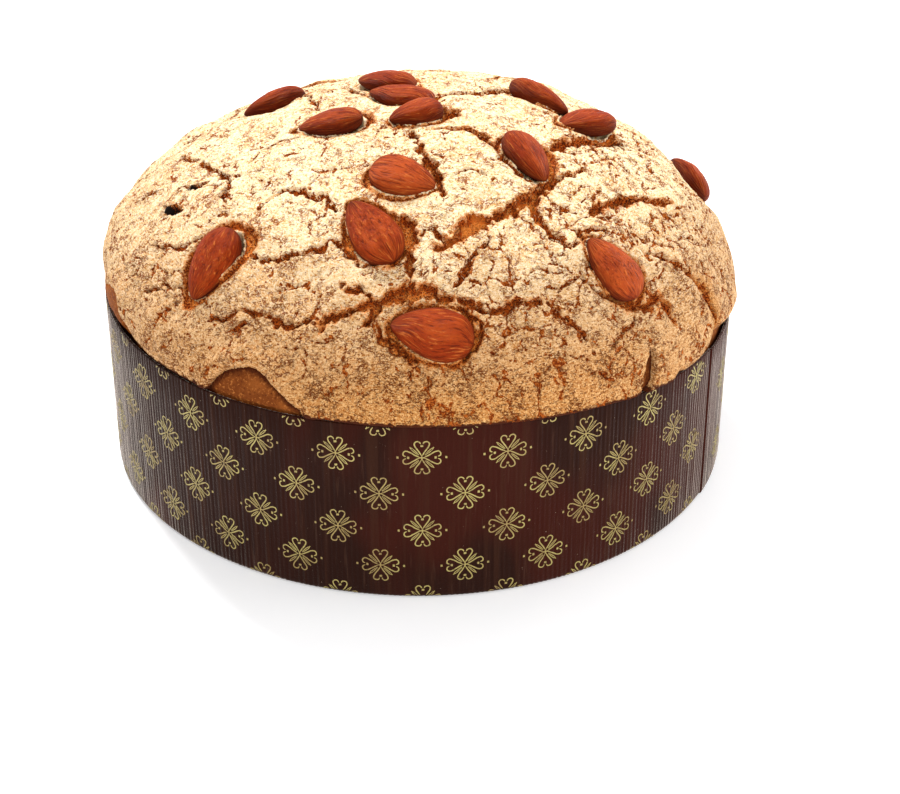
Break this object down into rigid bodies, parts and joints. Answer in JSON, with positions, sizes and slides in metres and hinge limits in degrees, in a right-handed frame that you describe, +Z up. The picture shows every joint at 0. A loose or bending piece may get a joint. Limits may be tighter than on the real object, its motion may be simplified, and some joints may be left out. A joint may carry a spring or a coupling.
{
  "type": "panettone",
  "caption": "Low round panettone in a brown paper baking mould, with a domed, cracked hazelnut glaze and whole almonds on top.",
  "frame": {"origin": "centre of the mould's flat underside", "axes": "+Z up; -Y towards the side that the picture shows, +X to its right"},
  "size_m": [0.2109, 0.2123, 0.1254],
  "materials": {
    "mould": "dark brown printed corrugated paper, slightly waxy",
    "cake": "baked sweet bread crust, matte",
    "glaze": "baked hazelnut and almond glaze, matte, porous and cracked",
    "almond": "toasted almond skin, fine ridges, faint sheen"
  },
  "bodies": {
    "root": {"mould": "mould", "cake": "cake", "glaze": "glaze", "almond_01": "almond", "almond_02": "almond", "almond_03": "almond", "almond_04": "almond", "almond_05": "almond", "almond_06": "almond", "almond_07": "almond", "almond_08": "almond", "almond_09": "almond", "almond_10": "almond", "almond_11": "almond", "almond_12": "almond", "almond_13": "almond", "almond_14": "almond", "almond_15": "almond", "almond_16": "almond", "almond_17": "almond", "almond_18": "almond", "almond_19": "almond", "almond_20": "almond"}
  },
  "joints": []
}
